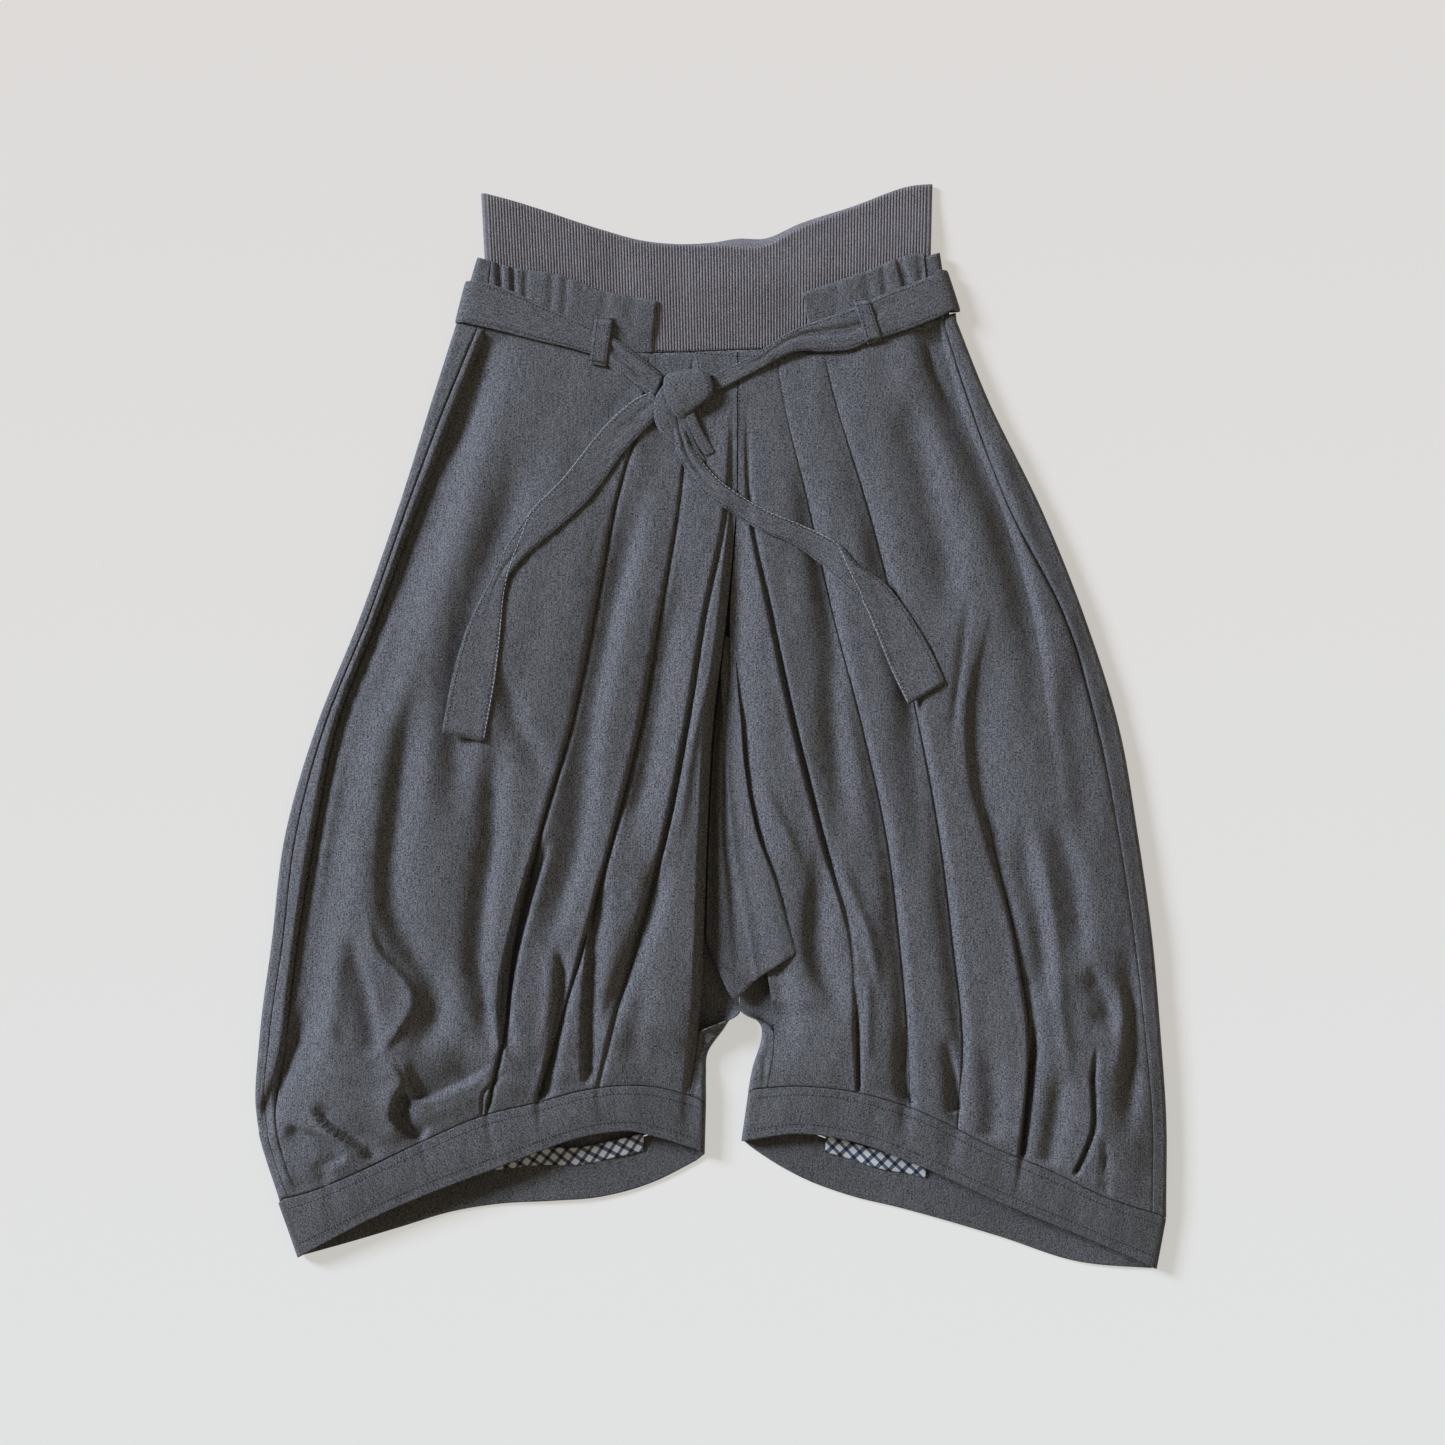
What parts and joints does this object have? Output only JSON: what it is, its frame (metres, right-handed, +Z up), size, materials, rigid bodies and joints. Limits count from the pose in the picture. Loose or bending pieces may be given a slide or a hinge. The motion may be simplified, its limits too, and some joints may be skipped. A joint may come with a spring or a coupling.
{
  "type": "capri pants",
  "caption": "Pleated drop-crotch capri pants in heathered wool, laid flat, with a rib-knit waistband, a woven outer waistband, a knotted tie belt and open banded hems.",
  "frame": {"origin": "on the floor, under the middle of the garment's bounding box", "axes": "+X across the garment, +Y towards the waist, +Z up off the floor, out of the front"},
  "size_m": [0.6712, 0.7993, 0.0241],
  "materials": {
    "woven": "matte heathered wool weave",
    "rib_knit": "matte rib knit",
    "binding": "matte checked cotton"
  },
  "bodies": {
    "root": {"rib_waistband": "rib_knit", "waistband_front_left": "woven", "waistband_front_right": "woven", "waistband_back": "woven", "leg_front_left": "woven", "leg_front_right": "woven", "leg_back_left": "woven", "leg_back_right": "woven", "crotch_piece": "woven", "hem_band_left": "woven", "hem_band_right": "woven", "seam_binding_left": "binding", "seam_binding_right": "binding", "belt_round": "woven", "belt_knot": "woven", "belt_tail_left": "woven", "belt_tail_right": "woven", "belt_loop_left": "woven", "belt_loop_right": "woven"}
  },
  "joints": []
}
